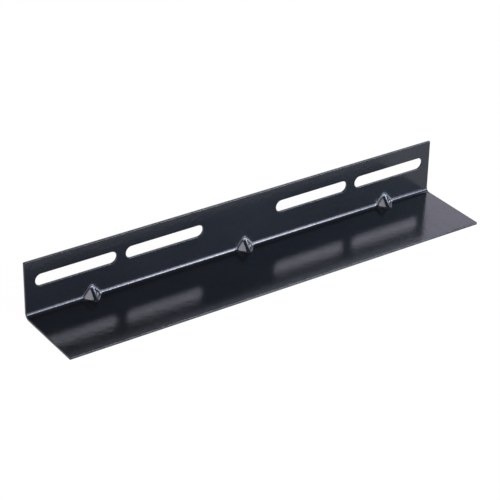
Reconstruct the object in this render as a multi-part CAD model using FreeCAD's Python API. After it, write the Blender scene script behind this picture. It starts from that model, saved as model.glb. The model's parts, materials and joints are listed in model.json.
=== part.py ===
import FreeCAD, Part
import math
import os

from FreeCAD import Vector

# Rack support angle: one strip of sheet steel, bent once along its length into an L. Four long slots
# in the upright take the rack's screws, and three gussets pressed into the bend keep it square.
# X runs along the length, Z is up, and the upright stands at the back (+Y). The origin is under the
# middle of the part, in the plane that the shelf rests on.

# Driving dimensions, in millimetres
length = 280.0
upright_height = 35.5
shelf_depth = 50.0
sheet = 1.5
bend_inside = 2.0

# Slots in the upright: a pair at each end, with a plain margin outside it
slots_per_pair = 2
slot_length = 51.5
slot_width = 7.5
slot_centre_height = 22.2
slot_web = 5.75
left_margin = 6.55
right_margin = 5.45

# Gussets: each ridge runs from the upright down to the shelf and sags a little on the way
gusset_count = 3
gusset_first = 41.5
gusset_pitch = 102.4
gusset_rise = 7.2
gusset_reach = 6.5
gusset_sag = 0.45
gusset_half_angle = 46.0
gusset_nose = 4.0
gusset_root = 1.2
dent_lip = 1.2

# How far a cutter runs on past the faces that it goes through
overrun = 7.0

# Corners of the two free edges, as the blanking tool leaves them
free_corner = 0.6

# Places that follow from the sizes
half_length = length / 2
back = shelf_depth / 2
front = -shelf_depth / 2
upright_face = back - sheet
shelf_top = sheet
bend_outside = bend_inside + sheet


def angle_section():
    """The closed L outline at the left end, with the bend's two arcs."""
    x = -half_length
    diagonal = math.sqrt(0.5)
    outer_middle = Vector(x, back - bend_outside * (1 - diagonal), bend_outside * (1 - diagonal))
    inner_y = upright_face - bend_inside * (1 - diagonal)
    inner_z = shelf_top + bend_inside * (1 - diagonal)
    inner_middle = Vector(x, inner_y, inner_z)
    lip_bottom = Vector(x, front, 0)
    heel_start = Vector(x, back - bend_outside, 0)
    heel_end = Vector(x, back, bend_outside)
    top_back = Vector(x, back, upright_height)
    top_front = Vector(x, upright_face, upright_height)
    throat_top = Vector(x, upright_face, shelf_top + bend_inside)
    throat_bottom = Vector(x, upright_face - bend_inside, shelf_top)
    lip_top = Vector(x, front, shelf_top)
    edges = [
        Part.makeLine(lip_bottom, heel_start),
        Part.Arc(heel_start, outer_middle, heel_end).toShape(),
        Part.makeLine(heel_end, top_back),
        Part.makeLine(top_back, top_front),
        Part.makeLine(top_front, throat_top),
        Part.Arc(throat_top, inner_middle, throat_bottom).toShape(),
        Part.makeLine(throat_bottom, lip_top),
        Part.makeLine(lip_top, lip_bottom),
    ]
    return Part.Wire(edges)


def bent_sheet():
    """The plain angle, with its four free corners rounded."""
    section = Part.Face(angle_section())
    solid = section.extrude(Vector(length, 0, 0))
    corners = []
    for edge in solid.Edges:
        ends = [vertex.Point for vertex in edge.Vertexes]
        middle = (ends[0] + ends[-1]) * 0.5
        across_sheet = abs(edge.Length - sheet) < 1e-6
        at_top = abs(middle.z - upright_height) < 1e-6
        at_lip = abs(middle.y - front) < 1e-6
        at_end = abs(abs(middle.x) - half_length) < 1e-6
        if across_sheet and at_end and (at_top or at_lip):
            corners.append(edge)
    return solid.makeFillet(free_corner, corners)


def slot_centres():
    """Places along X: each pair is counted inwards from the margin at its own end."""
    centres = []
    for number in range(slots_per_pair):
        inwards = slot_length / 2 + number * (slot_length + slot_web)
        centres.append(-half_length + left_margin + inwards)
        centres.append(half_length - right_margin - inwards)
    return sorted(centres)


def slot_cutter(centre):
    """An obround through the upright, round at both ends."""
    radius = slot_width / 2
    straight = slot_length / 2 - radius
    y = upright_face - overrun
    left = centre - straight
    right = centre + straight
    low = slot_centre_height - radius
    high = slot_centre_height + radius
    outline = Part.Wire([
        Part.makeLine(Vector(left, y, low), Vector(right, y, low)),
        Part.Arc(
            Vector(right, y, low),
            Vector(right + radius, y, slot_centre_height),
            Vector(right, y, high),
        ).toShape(),
        Part.makeLine(Vector(right, y, high), Vector(left, y, high)),
        Part.Arc(
            Vector(left, y, high),
            Vector(left - radius, y, slot_centre_height),
            Vector(left, y, low),
        ).toShape(),
    ])
    return Part.Face(outline).extrude(Vector(0, sheet + 2 * overrun, 0))


def ridge_wedge(centre, offset, deep):
    """A wedge with a rounded nose, turned about an axis along X so that its ridge is a shallow arc.

    The ridge passes through its highest point on the upright and its furthest on the shelf. The offset
    moves the wedge's whole surface into the sheet, and deep is how far it goes past the nose's centre.
    """
    top = Vector(centre, upright_face, shelf_top + gusset_rise)
    foot = Vector(centre, upright_face - gusset_reach, shelf_top)
    chord = top - foot
    ridge_radius = chord.Length ** 2 / (8 * gusset_sag) + gusset_sag / 2
    into_bend = Vector(0, chord.z, -chord.y).normalize()
    along = Vector(1, 0, 0)
    lowest = (top + foot) * 0.5 + into_bend * gusset_sag
    turning_centre = lowest - into_bend * ridge_radius

    half_angle = math.radians(gusset_half_angle)
    nose = gusset_nose - offset
    nose_centre = lowest + into_bend * gusset_nose
    side_x = nose * math.cos(half_angle)
    side_d = -nose * math.sin(half_angle)
    base_x = side_x + (deep - side_d) * math.tan(half_angle)
    left_side = nose_centre - along * side_x + into_bend * side_d
    right_side = nose_centre + along * side_x + into_bend * side_d
    left_base = nose_centre - along * base_x + into_bend * deep
    right_base = nose_centre + along * base_x + into_bend * deep
    tip = nose_centre - into_bend * nose
    outline = Part.Wire([
        Part.makeLine(left_base, left_side),
        Part.Arc(left_side, tip, right_side).toShape(),
        Part.makeLine(right_side, right_base),
        Part.makeLine(right_base, left_base),
    ])
    half_turn = math.degrees((chord.Length / 2 + overrun) / ridge_radius)
    section = Part.Face(outline)
    section.rotate(turning_centre, along, -half_turn)
    return section.revolve(turning_centre, along, 2 * half_turn)


def heel_block():
    """Everything inside the outer faces of the L, which no gusset may pass."""
    x = -half_length
    diagonal = math.sqrt(0.5)
    middle = Vector(x, back - bend_outside * (1 - diagonal), bend_outside * (1 - diagonal))
    heel_start = Vector(x, back - bend_outside, 0)
    heel_end = Vector(x, back, bend_outside)
    outline = Part.Wire([
        Part.makeLine(Vector(x, front, 0), heel_start),
        Part.Arc(heel_start, middle, heel_end).toShape(),
        Part.makeLine(heel_end, Vector(x, back, upright_height)),
        Part.makeLine(Vector(x, back, upright_height), Vector(x, front, upright_height)),
        Part.makeLine(Vector(x, front, upright_height), Vector(x, front, 0)),
    ])
    return Part.Face(outline).extrude(Vector(length, 0, 0))


def gusset_centres():
    """Places along X, counted from the left end."""
    return [gusset_first + number * gusset_pitch - half_length for number in range(gusset_count)]


def seam_edges(solid, wedge, neighbour):
    """The edges of the solid where the wedge's skin meets the neighbour's."""
    found = []
    for edge in solid.Edges:
        point = edge.valueAt((edge.FirstParameter + edge.LastParameter) / 2)
        vertex = Part.Vertex(point)
        on_wedge = vertex.distToShape(wedge.Shells[0])[0] < 1e-4
        on_neighbour = vertex.distToShape(neighbour.Shells[0])[0] < 1e-4
        if on_wedge and on_neighbour:
            found.append(edge)
    return found


def add_gusset(solid, plain, envelope, centre):
    """Raise one gusset inside the bend and press the matching dent into the outside."""
    depth = gusset_reach * math.sqrt(0.5) + sheet / 2 - gusset_nose
    rib = ridge_wedge(centre, 0, depth)
    raised = solid.fuse(rib.common(envelope)).removeSplitter()
    raised = raised.makeFillet(gusset_root, seam_edges(raised, rib, plain))
    dent = ridge_wedge(centre, sheet, depth + overrun)
    dented = raised.cut(dent)
    return dented.makeFillet(dent_lip, seam_edges(dented, dent, envelope))


plain = bent_sheet()
envelope = heel_block()
angle = plain
for centre in gusset_centres():
    angle = add_gusset(angle, plain, envelope, centre)
for centre in slot_centres():
    angle = angle.cut(slot_cutter(centre))

os.makedirs("parts", exist_ok=True)
angle.exportStep("parts/support_angle.step")
print("solids", len(angle.Solids), "volume", round(angle.Volume, 2), "valid", angle.isValid())
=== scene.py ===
import json
import math

import bmesh
import bpy
from mathutils import Matrix, Vector


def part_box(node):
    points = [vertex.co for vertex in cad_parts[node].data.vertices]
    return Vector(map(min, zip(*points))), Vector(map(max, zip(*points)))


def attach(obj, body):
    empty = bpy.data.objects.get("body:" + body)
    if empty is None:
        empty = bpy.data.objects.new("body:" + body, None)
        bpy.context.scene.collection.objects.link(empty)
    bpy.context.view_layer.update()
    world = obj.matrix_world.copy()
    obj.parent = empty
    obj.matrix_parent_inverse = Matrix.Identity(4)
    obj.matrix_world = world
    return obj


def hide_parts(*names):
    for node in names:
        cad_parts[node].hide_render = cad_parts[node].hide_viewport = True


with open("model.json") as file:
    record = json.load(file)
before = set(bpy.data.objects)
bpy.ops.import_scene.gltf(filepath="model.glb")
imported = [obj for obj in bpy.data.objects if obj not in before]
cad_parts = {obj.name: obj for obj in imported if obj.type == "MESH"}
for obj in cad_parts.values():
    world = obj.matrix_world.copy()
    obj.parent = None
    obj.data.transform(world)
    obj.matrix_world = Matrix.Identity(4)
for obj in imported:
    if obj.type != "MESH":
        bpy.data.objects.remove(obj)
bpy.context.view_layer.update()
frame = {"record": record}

MM = 0.001


# The blank.
# One strip of 1.5 mm sheet steel, punched with four long slots before anything is bent.
# It lies flat here: X along the part, Y across the strip, Z through the sheet.

(part_left, part_front, _), (part_right, part_back, part_top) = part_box("support_angle")
mounts = {mount["name"]: mount for mount in frame["record"]["mounts"]}
slots_left = mounts["left_slots"]
slots_right = mounts["right_slots"]
sheet = mounts["shelf_top"]["pos_m"][2]
slot_height = slots_left["pos_m"][2]
slot_length = slots_left["dims"]["slot_length_mm"] * MM
slot_radius = slots_left["dims"]["hole_r_mm"] * MM
slot_pitch = slots_left["dims"]["spacing_x_mm"] * MM
slot_quarter_steps = 20

bend_inside = 2.1 * MM
bend_outside = bend_inside + sheet
bend_middle = bend_inside + sheet / 2
bend_run = bend_middle * math.pi / 2
free_corner = 0.6 * MM
free_corner_steps = 6

# Across the strip, zero is where the shelf runs into the bend and positive runs up the upright.
across_front = part_front - (part_back - bend_outside)
across_top = bend_run + part_top - bend_outside
across_slots = bend_run + slot_height - bend_outside

# Only the band that the punch will press needs small faces.
gusset_first = part_left + 41.3 * MM
gusset_pitch = 102.4 * MM
gusset_count = 3
pressed_half_width = 8.0 * MM
pressed_shelf = -9.5 * MM
pressed_upright = bend_run + 9.5 * MM
mesh_step = 0.2 * MM

# Columns closer than this are one, and so are corners that agree to this many digits of a metre.
same_place = mesh_step / 100
same_corner_digits = 7


def steps_between(start, end, step):
    """Evenly spaced values from start to end, both included."""
    count = max(1, round((end - start) / step))
    return [start + (end - start) * number / count for number in range(count + 1)]


def slot_centres():
    """Middles of the four slots along X, from the left."""
    centres = []
    for pair in (slots_left, slots_right):
        middle = pair["pos_m"][0]
        centres += [middle - slot_pitch / 2, middle + slot_pitch / 2]
    return centres


def mesh_columns():
    """Places along X where the pressed band has a column, close together only at the gussets."""
    places = [part_left, part_right] + slot_centres()
    for number in range(gusset_count):
        centre = gusset_first + number * gusset_pitch
        places += steps_between(centre - pressed_half_width, centre + pressed_half_width, mesh_step)
    places.sort()
    kept = places[:1]
    for place in places[1:]:
        if place - kept[-1] > same_place:
            kept.append(place)
    return kept


def slot_side(centre, side):
    """Points round one half of a slot, lowest first: the left half for side -1, the right for 1."""
    straight = slot_length / 2 - slot_radius
    points = [(centre, across_slots - slot_radius)]
    for step in range(2 * slot_quarter_steps + 1):
        turned = math.pi / 2 * step / slot_quarter_steps
        points.append((
            centre + side * (straight + slot_radius * math.sin(turned)),
            across_slots - slot_radius * math.cos(turned),
        ))
    points.append((centre, across_slots + slot_radius))
    return points


def rounded_corner(x, across, to_x, to_across):
    """Points of a free corner's arc, from the edge across the strip to the one along X."""
    points = []
    for step in range(free_corner_steps + 1):
        turned = math.pi / 2 * step / free_corner_steps
        points.append((
            x + to_x * free_corner * (1 - math.cos(turned)),
            across + to_across * free_corner * (1 - math.sin(turned)),
        ))
    return points


blank = bmesh.new()
corners_made = {}


def corner(x, across):
    """The blank's vertex at this place, made once and shared by every face that meets there."""
    key = (round(x, same_corner_digits), round(across, same_corner_digits))
    if key not in corners_made:
        corners_made[key] = blank.verts.new((x, across, -sheet / 2))
    return corners_made[key]


def add_face(points):
    blank.faces.new([corner(x, across) for x, across in points])


columns = mesh_columns()
rows = steps_between(pressed_shelf, 0, mesh_step)[:-1]
rows += steps_between(0, bend_run, mesh_step)[:-1]
rows += steps_between(bend_run, pressed_upright, mesh_step)
for left, right in zip(columns, columns[1:]):
    for low, high in zip(rows, rows[1:]):
        add_face([(left, low), (right, low), (right, high), (left, high)])

# The plain part of the shelf is one face.
shelf_outline = [(x, pressed_shelf) for x in reversed(columns)]
shelf_outline += rounded_corner(part_left, across_front, 1, 1)
shelf_outline += rounded_corner(part_right, across_front, -1, 1)[::-1]
add_face(shelf_outline)

# The upright is one face from each slot's middle to the next, so that no seam touches a slot's tip.
centres = slot_centres()
lefts = [part_left] + centres
rights = centres + [part_right]
for number, (left, right) in enumerate(zip(lefts, rights)):
    foot = [(x, pressed_upright) for x in columns if left - same_place < x < right + same_place]
    left_side = slot_side(left, 1) + [(left, across_top)]
    right_side = slot_side(right, -1) + [(right, across_top)]
    if number == 0:
        left_side = rounded_corner(left, across_top, 1, -1)
    if number == len(centres):
        right_side = rounded_corner(right, across_top, -1, -1)
    add_face(foot + right_side + left_side[::-1])

raised = bmesh.ops.extrude_face_region(blank, geom=blank.faces[:])
raised_corners = [item for item in raised["geom"] if isinstance(item, bmesh.types.BMVert)]
bmesh.ops.translate(blank, verts=raised_corners, vec=(0, 0, sheet))
bmesh.ops.recalc_face_normals(blank, faces=blank.faces[:])

# Every sharp edge is rounded, the outline more than the slots' rims.
outline_round = 0.36 * MM
slot_round = 0.2 * MM
sharp_angle = math.radians(50)
rim_margin = 0.1 * MM
end_margin = 1 * MM


def on_slot_rim(point):
    """True for the points of the slots' edges, which lie close to the slots' middle line."""
    inside_ends = part_left + end_margin < point.x < part_right - end_margin
    return inside_ends and abs(point.y - across_slots) < slot_radius + rim_margin


roundness = blank.edges.layers.float.new("bevel_weight_edge")
for edge in blank.edges:
    if edge.calc_face_angle(0) > sharp_angle:
        on_rim = all(on_slot_rim(end.co) for end in edge.verts)
        edge[roundness] = slot_round / outline_round if on_rim else 1.0

blank_mesh = bpy.data.meshes.new("support_angle_coated")
blank.to_mesh(blank_mesh)
blank.free()
for polygon in blank_mesh.polygons:
    polygon.use_smooth = True
angle = bpy.data.objects.new("support_angle_coated", blank_mesh)
bpy.context.scene.collection.objects.link(angle)


# Bending and pressing.
# A brake folds the strip through 90 degrees, and a punch presses the three gussets into the bend.
# Both follow a rule, so one Geometry Nodes tree moves the flat blank's points.

# A gusset's ridge rises up the upright, reaches out over the shelf and sags in between. The flank
# slope is its fall for each step aside, and the blends are how softly it meets the sheet.
press_sizes = {
    "Sheet": sheet,
    "Bend Inside": bend_inside,
    "Bend Spread": 5.6 * MM,
    "Back": part_back,
    "First Gusset": gusset_first,
    "Gusset Pitch": gusset_pitch,
    "Gusset Rise": 7.05 * MM,
    "Gusset Reach": 6.25 * MM,
    "Ridge Sag": 0.25 * MM,
    "Flank Slope": 0.77,
    "Foot Steepening": 0.22,
    "Nose Radius": 2.8 * MM,
    "Top Blend": 1.9 * MM,
    "Foot Blend": 1.1 * MM,
}
crest_limit = 1.5
cut_edge_power = 8.0


class Arithmetic:
    """Adds arithmetic nodes to one tree. Each value is a socket or a plain number."""

    def __init__(self, tree):
        self.tree = tree

    def feed(self, socket, value):
        if isinstance(value, bpy.types.NodeSocket):
            self.tree.links.new(value, socket)
        else:
            socket.default_value = value

    def number(self, operation, *values, clamp=False):
        node = self.tree.nodes.new("ShaderNodeMath")
        node.operation = operation
        node.use_clamp = clamp
        for socket, value in zip(node.inputs, values):
            self.feed(socket, value)
        return node.outputs[0]

    def add(self, first, second):
        return self.number("ADD", first, second)

    def subtract(self, first, second):
        return self.number("SUBTRACT", first, second)

    def multiply(self, first, second):
        return self.number("MULTIPLY", first, second)

    def divide(self, first, second):
        return self.number("DIVIDE", first, second)

    def square(self, value):
        return self.number("POWER", value, 2.0)

    def root(self, value):
        return self.number("SQRT", value)

    def vector(self, operation, *values):
        node = self.tree.nodes.new("ShaderNodeVectorMath")
        node.operation = operation
        for socket, value in zip(node.inputs, values):
            self.feed(socket, value)
        return node

    def dot(self, first, second):
        return self.vector("DOT_PRODUCT", first, second).outputs["Value"]

    def moved(self, place, direction, distance):
        """The place, moved by the distance along the direction."""
        scaled = self.vector("SCALE", direction)
        self.feed(scaled.inputs["Scale"], distance)
        return self.vector("ADD", place, scaled.outputs["Vector"]).outputs["Vector"]

    def combined(self, x, y, z):
        node = self.tree.nodes.new("ShaderNodeCombineXYZ")
        for socket, value in zip(node.inputs, (x, y, z)):
            self.feed(socket, value)
        return node.outputs[0]


def fold_and_press_tree():
    """Folds a flat strip round the X axis, then presses gussets into the fold at an even pitch."""
    tree = bpy.data.node_groups.new("fold and press", "GeometryNodeTree")
    tree.interface.new_socket("Geometry", in_out="INPUT", socket_type="NodeSocketGeometry")
    for name in press_sizes:
        tree.interface.new_socket(name, in_out="INPUT", socket_type="NodeSocketFloat")
    tree.interface.new_socket("Material", in_out="INPUT", socket_type="NodeSocketMaterial")
    tree.interface.new_socket("Geometry", in_out="OUTPUT", socket_type="NodeSocketGeometry")
    given = tree.nodes.new("NodeGroupInput").outputs
    sums = Arithmetic(tree)
    number, square, root = sums.number, sums.square, sums.root
    add, subtract, multiply, divide = sums.add, sums.subtract, sums.multiply, sums.divide

    flat = tree.nodes.new("ShaderNodeSeparateXYZ")
    position = tree.nodes.new("GeometryNodeInputPosition")
    tree.links.new(position.outputs[0], flat.inputs[0])
    along, across, through = flat.outputs

    # The fold: each point turns about the bend's centre by as much of the strip as lies inside it.
    half_sheet = multiply(given["Sheet"], 0.5)
    middle_radius = add(given["Bend Inside"], half_sheet)
    turned = number("MAXIMUM", divide(across, middle_radius), 0.0)
    turned = number("MINIMUM", turned, math.pi / 2)
    straight = subtract(across, multiply(turned, middle_radius))
    sine = number("SINE", turned)
    cosine = number("COSINE", turned)
    outside = add(given["Bend Inside"], given["Sheet"])
    bend_centre = sums.combined(along, subtract(given["Back"], outside), outside)
    outward = sums.combined(0.0, sine, multiply(cosine, -1.0))
    onward = sums.combined(0.0, cosine, sine)
    folded = sums.moved(bend_centre, outward, subtract(middle_radius, through))
    folded = sums.moved(folded, onward, straight)

    # Two directions at 45 degrees: out of the bend between the legs, and across the bend from the
    # shelf's side to the upright's. The throat is where the planes of the inside faces meet.
    slanted = math.sqrt(0.5)
    out_of_bend = (0.0, -slanted, slanted)
    over_bend = (0.0, slanted, slanted)
    throat = sums.combined(0.0, subtract(given["Back"], given["Sheet"]), given["Sheet"])
    from_throat = sums.vector("SUBTRACT", folded, throat).outputs["Vector"]
    sideways = sums.dot(from_throat, over_bend)
    round_depth = sums.dot(from_throat, out_of_bend)

    # A brake's bend has no sharp start: it spreads a little way into both legs. The fold's own
    # round profile is exchanged for one that leaves the two legs slowly.
    spread = number("SMOOTH_MAX", sideways, multiply(sideways, -1.0), given["Bend Spread"])
    radius = given["Bend Inside"]
    from_corner = number("ABSOLUTE", sideways)
    in_arc = number("MINIMUM", from_corner, multiply(radius, slanted))
    arc_height = root(subtract(square(radius), square(in_arc)))
    arc = subtract(multiply(radius, math.sqrt(2)), arc_height)
    arc = add(arc, subtract(from_corner, in_arc))
    depth = add(round_depth, subtract(spread, arc))

    # The crest of a gusset goes from the rise on the upright to the reach on the shelf, and sags a
    # little in between. The share is 1 at its top, -1 at its foot, and ends a little past them.
    rise = given["Gusset Rise"]
    reach = given["Gusset Reach"]
    rise_and_reach = add(rise, reach)
    uneven = subtract(rise, reach)
    chord_depth = multiply(divide(multiply(rise, reach), rise_and_reach), math.sqrt(2))
    from_middle = subtract(sideways, multiply(uneven, slanted / 2))
    share = divide(from_middle, multiply(rise_and_reach, slanted / 2))
    share = number("MINIMUM", share, crest_limit)
    share = number("MAXIMUM", share, -crest_limit)
    sag = multiply(subtract(1.0, multiply(share, share)), given["Ridge Sag"])
    chord = add(chord_depth, multiply(sideways, divide(uneven, rise_and_reach)))
    crest = subtract(chord, sag)

    # The gussets come at an even pitch, so each point counts from the middle of the nearest one.
    half_pitch = multiply(given["Gusset Pitch"], 0.5)
    from_first = add(subtract(along, given["First Gusset"]), half_pitch)
    wrapped = number("WRAP", from_first, given["Gusset Pitch"], 0.0)
    aside = number("ABSOLUTE", subtract(wrapped, half_pitch))

    # Across its ridge a gusset is a round nose with straight flanks. Deeper in the sheet the nose
    # is smaller by the depth, so that the sheet keeps its thickness.
    below_inside = subtract(half_sheet, through)
    steeper = multiply(share, given["Foot Steepening"])
    slope = multiply(given["Flank Slope"], subtract(1.0, steeper))
    nose = subtract(given["Nose Radius"], below_inside)
    flank_length = root(add(1.0, square(slope)))
    nose_half_width = divide(multiply(nose, slope), flank_length)
    on_nose = number("MINIMUM", aside, nose_half_width)
    nose_height = root(subtract(square(nose), square(on_nose)))
    on_flank = multiply(subtract(aside, on_nose), slope)
    fall = add(subtract(nose, nose_height), on_flank)
    punch = subtract(subtract(crest, below_inside), fall)

    # The punch lifts whatever lies below it, with a wider blend at its top than at its foot.
    foot_share = number("MULTIPLY", subtract(1.0, share), 0.5, clamp=True)
    narrower = multiply(foot_share, subtract(given["Top Blend"], given["Foot Blend"]))
    blend = subtract(given["Top Blend"], narrower)
    lifted = number("SMOOTH_MAX", depth, punch, blend)
    pressed = sums.moved(folded, out_of_bend, subtract(lifted, round_depth))

    # The mark on the cut edges: 1 inside the sheet's thickness, 0 on the sheet's own faces.
    from_core = divide(number("ABSOLUTE", through), half_sheet)
    cut_edge = number("SUBTRACT", 1.0, number("POWER", from_core, cut_edge_power), clamp=True)
    marked = tree.nodes.new("GeometryNodeStoreNamedAttribute")
    marked.inputs["Name"].default_value = "cut_edge"
    tree.links.new(given["Geometry"], marked.inputs["Geometry"])
    tree.links.new(cut_edge, marked.inputs["Value"])

    place = tree.nodes.new("GeometryNodeSetPosition")
    tree.links.new(marked.outputs["Geometry"], place.inputs["Geometry"])
    tree.links.new(pressed, place.inputs["Position"])
    realize = tree.nodes.new("GeometryNodeRealizeInstances")
    tree.links.new(place.outputs[0], realize.inputs[0])
    coat = tree.nodes.new("GeometryNodeSetMaterial")
    tree.links.new(realize.outputs[0], coat.inputs["Geometry"])
    tree.links.new(given["Material"], coat.inputs["Material"])
    tree.links.new(coat.outputs[0], tree.nodes.new("NodeGroupOutput").inputs[0])
    return tree


# The powder coat.
# A semi-gloss black powder, baked on after pressing. It rounds the cut edges and cures with a fine
# orange-peel skin, so reflections are soft.

coat_dark = (0.0044, 0.0051, 0.0068, 1)
coat_light = (0.0060, 0.0067, 0.0085, 1)
coat_thin = (0.030, 0.031, 0.034, 1)
coat_thin_share = 0.6
coat_roughness = 0.12
patch_roughness = 0.03
thin_roughness = 0.12
swell_share = 1.5
peel_strength = 0.5
peel_distance = 0.03 * MM


def cloud_group():
    """A soft noise between 0 and 1, Size metres from one patch to the next."""
    tree = bpy.data.node_groups.new("cloud", "ShaderNodeTree")
    tree.interface.new_socket("Place", in_out="INPUT", socket_type="NodeSocketVector")
    tree.interface.new_socket("Size", in_out="INPUT", socket_type="NodeSocketFloat")
    tree.interface.new_socket("Detail", in_out="INPUT", socket_type="NodeSocketFloat")
    tree.interface.new_socket("Cloud", in_out="OUTPUT", socket_type="NodeSocketFloat")
    given = tree.nodes.new("NodeGroupInput").outputs
    noise = tree.nodes.new("ShaderNodeTexNoise")
    tree.links.new(given["Place"], noise.inputs["Vector"])
    tree.links.new(Arithmetic(tree).divide(1.0, given["Size"]), noise.inputs["Scale"])
    tree.links.new(given["Detail"], noise.inputs["Detail"])

    # Most of the noise lies between these two levels, which become 0 and 1.
    low_level, high_level = 0.3, 0.7
    spread = tree.nodes.new("ShaderNodeMapRange")
    tree.links.new(noise.outputs["Fac"], spread.inputs["Value"])
    spread.inputs["From Min"].default_value = low_level
    spread.inputs["From Max"].default_value = high_level
    tree.links.new(spread.outputs["Result"], tree.nodes.new("NodeGroupOutput").inputs[0])
    return tree


def powder_coat():
    coat = bpy.data.materials.new("black powder coat")
    coat.use_nodes = True
    tree = coat.node_tree
    nodes, links = tree.nodes, tree.links
    sums = Arithmetic(tree)
    add, multiply = sums.add, sums.multiply
    shader = nodes["Principled BSDF"]
    shader.inputs["IOR"].default_value = 1.45
    shader.inputs["Specular Tint"].default_value = (0.8, 0.85, 1.0, 1)
    place = nodes.new("ShaderNodeTexCoord").outputs["Object"]
    cloud = cloud_group()

    def patches(size, detail):
        group = nodes.new("ShaderNodeGroup")
        group.node_tree = cloud
        links.new(place, group.inputs["Place"])
        group.inputs["Size"].default_value = size
        group.inputs["Detail"].default_value = detail
        return group.outputs["Cloud"]

    def mixed(factor, first, second):
        """A mix of two colours, whose sockets a Mix node keeps at these numbers."""
        mix = nodes.new("ShaderNodeMix")
        mix.data_type = "RGBA"
        for number, value in ((0, factor), (6, first), (7, second)):
            sums.feed(mix.inputs[number], value)
        return mix.outputs[2]

    # The powder lies a little unevenly, and greyer where it is thin on the cut edges.
    cut = nodes.new("ShaderNodeAttribute")
    cut.attribute_name = "cut_edge"
    edge_patches = patches(size=2.5 * MM, detail=3)
    thin = sums.number("MULTIPLY", cut.outputs["Fac"], edge_patches, clamp=True)
    tone = mixed(patches(size=35 * MM, detail=2), coat_dark, coat_light)
    tone = mixed(multiply(thin, coat_thin_share), tone, coat_thin)
    links.new(tone, shader.inputs["Base Color"])

    # Gloss: softer in faint patches and on the cut edges.
    rough = add(coat_roughness, multiply(patches(size=14 * MM, detail=3), patch_roughness))
    rough = add(rough, multiply(thin, thin_roughness))
    links.new(rough, shader.inputs["Roughness"])

    # Orange peel: fine grains on a slower swell, about a hundredth of a millimetre high.
    swell = multiply(patches(size=3 * MM, detail=1), swell_share)
    peel = add(patches(size=0.6 * MM, detail=1), swell)
    bump = nodes.new("ShaderNodeBump")
    bump.inputs["Strength"].default_value = peel_strength
    bump.inputs["Distance"].default_value = peel_distance
    links.new(peel, bump.inputs["Height"])
    links.new(bump.outputs["Normal"], shader.inputs["Normal"])
    return coat


# The blank's edges are rounded first, and then it is folded, pressed and coated.
rounding = angle.modifiers.new("rounded edges", "BEVEL")
rounding.width = outline_round
rounding.segments = 4
rounding.limit_method = "WEIGHT"

tree = fold_and_press_tree()
pressing = angle.modifiers.new("fold and press", "NODES")
pressing.node_group = tree
settings = {**press_sizes, "Material": powder_coat()}
for item in tree.interface.items_tree:
    if item.in_out == "INPUT" and item.name in settings:
        pressing[item.identifier] = settings[item.name]

evening = angle.modifiers.new("even shading", "WEIGHTED_NORMAL")
evening.mode = "FACE_AREA"
evening.weight = 100
evening.keep_sharp = True

evaluated = angle.evaluated_get(bpy.context.evaluated_depsgraph_get())
finished = bpy.data.meshes.new_from_object(evaluated)
angle.modifiers.clear()
angle.data = finished
finished.name = "support_angle_coated"
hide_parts("support_angle")
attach(angle, "root")


# The floor and the light.
# A plain white studio floor. The camera and every reflection see it almost white, and what is left
# of its own surface takes the part's shadow.

floor_reach = 6.0
glow_share = 0.96
floor_paint = (0.9, 0.9, 0.9, 1)
floor_corners = [
    (-floor_reach, -floor_reach, 0),
    (floor_reach, -floor_reach, 0),
    (floor_reach, floor_reach, 0),
    (-floor_reach, floor_reach, 0),
]
floor_mesh = bpy.data.meshes.new("floor")
floor_mesh.from_pydata(floor_corners, [], [(0, 1, 2, 3)])
floor = bpy.data.objects.new("floor", floor_mesh)
bpy.context.scene.collection.objects.link(floor)


def white_floor():
    white = bpy.data.materials.new("white floor")
    white.use_nodes = True
    tree = white.node_tree
    nodes, links = tree.nodes, tree.links
    nodes.clear()
    sums = Arithmetic(tree)
    paint = nodes.new("ShaderNodeBsdfDiffuse")
    paint.inputs["Color"].default_value = floor_paint
    glow = nodes.new("ShaderNodeEmission")
    glow.inputs["Strength"].default_value = 1.0
    ray = nodes.new("ShaderNodeLightPath").outputs
    seen = sums.number("MAXIMUM", ray["Is Camera Ray"], ray["Is Glossy Ray"])
    seen = sums.number("MAXIMUM", seen, ray["Is Transmission Ray"])
    both = nodes.new("ShaderNodeMixShader")
    links.new(sums.multiply(seen, glow_share), both.inputs["Fac"])
    links.new(paint.outputs[0], both.inputs[1])
    links.new(glow.outputs[0], both.inputs[2])
    links.new(both.outputs[0], nodes.new("ShaderNodeOutputMaterial").inputs["Surface"])
    return white


floor_mesh.materials.append(white_floor())

# A pale surround: bright in a band above the floor, and dark overhead. Each pair is a height on the
# sky, from 0 at the horizon to 1 overhead, and the level there.
surround_level = 1.75
surround_tint = (0.92, 0.92, 1.0)
surround_band = ((0.10, 0.05), (0.30, 1.0), (0.50, 1.0), (0.62, 0.06))
world = bpy.data.worlds.new("surround")
bpy.context.scene.world = world
world.use_nodes = True
surround = world.node_tree
background = surround.nodes["Background"]
background.inputs["Strength"].default_value = surround_level
direction = surround.nodes.new("ShaderNodeTexCoord")
height = surround.nodes.new("ShaderNodeSeparateXYZ")
surround.links.new(direction.outputs["Generated"], height.inputs[0])
band = surround.nodes.new("ShaderNodeValToRGB")
band.color_ramp.interpolation = "EASE"
while len(band.color_ramp.elements) < len(surround_band):
    band.color_ramp.elements.new(0.5)
for stop, (place, level) in zip(band.color_ramp.elements, surround_band):
    stop.position = place
    stop.color = (*(part * level for part in surround_tint), 1)
surround.links.new(height.outputs["Z"], band.inputs["Fac"])
surround.links.new(band.outputs["Color"], background.inputs["Color"])

lamp_distance = 1.5


def towards(azimuth, elevation):
    """A direction from the part, in degrees. Azimuth 0 is in front of the upright."""
    turn = math.radians(azimuth)
    rise = math.radians(elevation)
    return Vector((
        math.sin(turn) * math.cos(rise),
        -math.cos(turn) * math.cos(rise),
        math.sin(rise),
    ))


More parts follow.
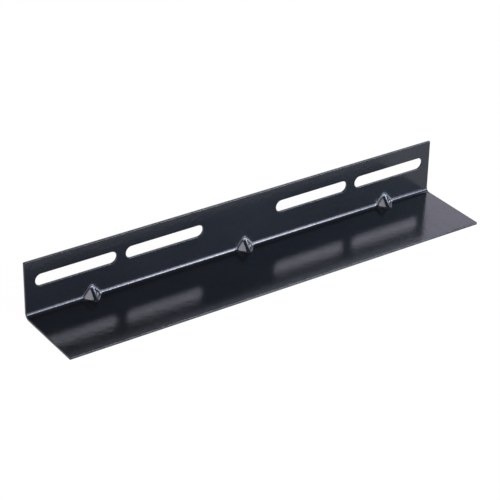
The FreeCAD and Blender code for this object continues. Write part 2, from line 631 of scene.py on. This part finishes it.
def soft_box(name, azimuth, elevation, width, height, level, colour=(1, 1, 1)):
    """A flat lamp that faces the part. The level is its radiance."""
    lamp = bpy.data.lights.new(name, "AREA")
    lamp.shape = "RECTANGLE"
    lamp.size = width
    lamp.size_y = height
    lamp.energy = level * width * height * math.pi
    lamp.color = colour
    holder = bpy.data.objects.new(name, lamp)
    bpy.context.scene.collection.objects.link(holder)
    away = towards(azimuth, elevation)
    holder.location = away * lamp_distance
    holder.rotation_euler = away.to_track_quat("Z", "Y").to_euler()


# Low in front stands a long strip with a bright middle, and a narrow one at its right. Boxes above
# them, at the left, overhead and behind the part fill in.
soft_box("strip left", 9, 10.5, 0.72, 0.42, 17.0, (0.88, 0.86, 0.92))
soft_box("strip middle", 30, 10.5, 0.36, 0.42, 36.0, (0.98, 0.96, 0.96))
soft_box("strip right", 58, 10.5, 1.1, 0.42, 13.8, (0.82, 0.85, 1.0))
soft_box("right box", 58, 24, 0.5, 0.5, 6.5, (0.6, 0.92, 1.0))
soft_box("side strip", 73, 12, 0.24, 0.62, 14.0, (0.95, 0.97, 1.0))
soft_box("left box", -58, 31, 0.85, 0.62, 6.5, (1.0, 0.92, 0.86))
soft_box("front box", 32, 24, 0.5, 0.4, 1.6, (0.2, 0.6, 1.0))
soft_box("back right box", 127, 30, 0.45, 0.5, 0.3, (0.83, 0.57, 1.0))
soft_box("high back box", 112, 50, 0.7, 0.4, 3.3, (0.8, 1.0, 1.0))
soft_box("overhead box", -170, 84, 0.8, 0.8, 1.6)

# The camera stands where the photograph's edges and slots put it.
camera_azimuth = -34.604
camera_elevation = 29.609
camera_turn = math.radians(camera_azimuth)
camera_roll = math.radians(1.184)
camera_distance = 1.12024
camera_focal_pixels = 1911.69
picture_pixels = 500
camera_target = Vector((part_left + 147.81 * MM, part_back - sheet, -0.93 * MM))
camera_data = bpy.data.cameras.new("camera")
camera_data.sensor_width = 36
camera_data.lens = camera_data.sensor_width * camera_focal_pixels / picture_pixels
camera = bpy.data.objects.new("camera", camera_data)
bpy.context.scene.collection.objects.link(camera)
back = towards(camera_azimuth, camera_elevation)
right = Vector((math.cos(camera_turn), math.sin(camera_turn), 0))
up = back.cross(right)
rolled_right = math.cos(camera_roll) * right + math.sin(camera_roll) * up
rolled_up = -math.sin(camera_roll) * right + math.cos(camera_roll) * up
turn = Matrix((rolled_right, rolled_up, back)).transposed().to_4x4()
camera.matrix_world = Matrix.Translation(camera_target + back * camera_distance) @ turn
bpy.context.scene.camera = camera
bpy.context.scene.view_settings.view_transform = "Standard"
